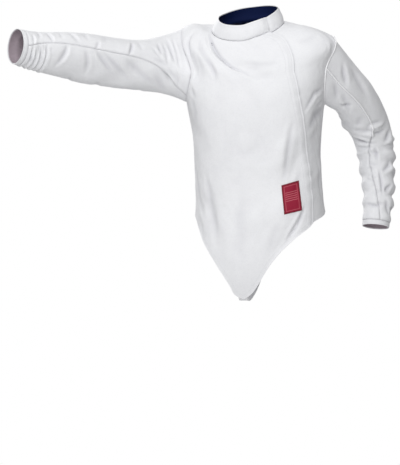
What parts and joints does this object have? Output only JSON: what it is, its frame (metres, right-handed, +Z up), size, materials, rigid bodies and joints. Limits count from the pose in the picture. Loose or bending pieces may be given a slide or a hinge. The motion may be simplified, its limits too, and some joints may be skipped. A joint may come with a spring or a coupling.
{
  "type": "fencing jacket",
  "caption": "White fencing jacket, worn and hollow, with a stand collar, a wrap-over front, a pointed tail and long sleeves.",
  "frame": {"origin": "middle of the neck seam, where the wearer carries the jacket", "axes": "+Z up, -Y the way the wearer faces, +X to the wearer's left"},
  "size_m": [0.8787, 0.6129, 0.7544],
  "materials": {
    "white_cloth": "dense white woven cloth with a slight sheen",
    "navy_lining": "plain navy lining",
    "mauve_grey_lining": "plain mauve-grey lining",
    "red_label": "close red twill with a stitched border",
    "zip": "white moulded coil on its tape"
  },
  "bodies": {
    "root": {"front_right": "white_cloth", "front_left": "white_cloth", "back": "white_cloth", "collar": "white_cloth", "neck_lining": "navy_lining", "sleeve_right_upper": "white_cloth", "sleeve_right_under": "white_cloth", "sleeve_left_upper": "white_cloth", "sleeve_left_under": "white_cloth", "cuff_right": "white_cloth", "cuff_left": "white_cloth", "cuff_lining_right": "mauve_grey_lining", "cuff_lining_left": "mauve_grey_lining", "label": "red_label", "zip": "zip", "crotch_strap": "white_cloth"}
  },
  "joints": []
}
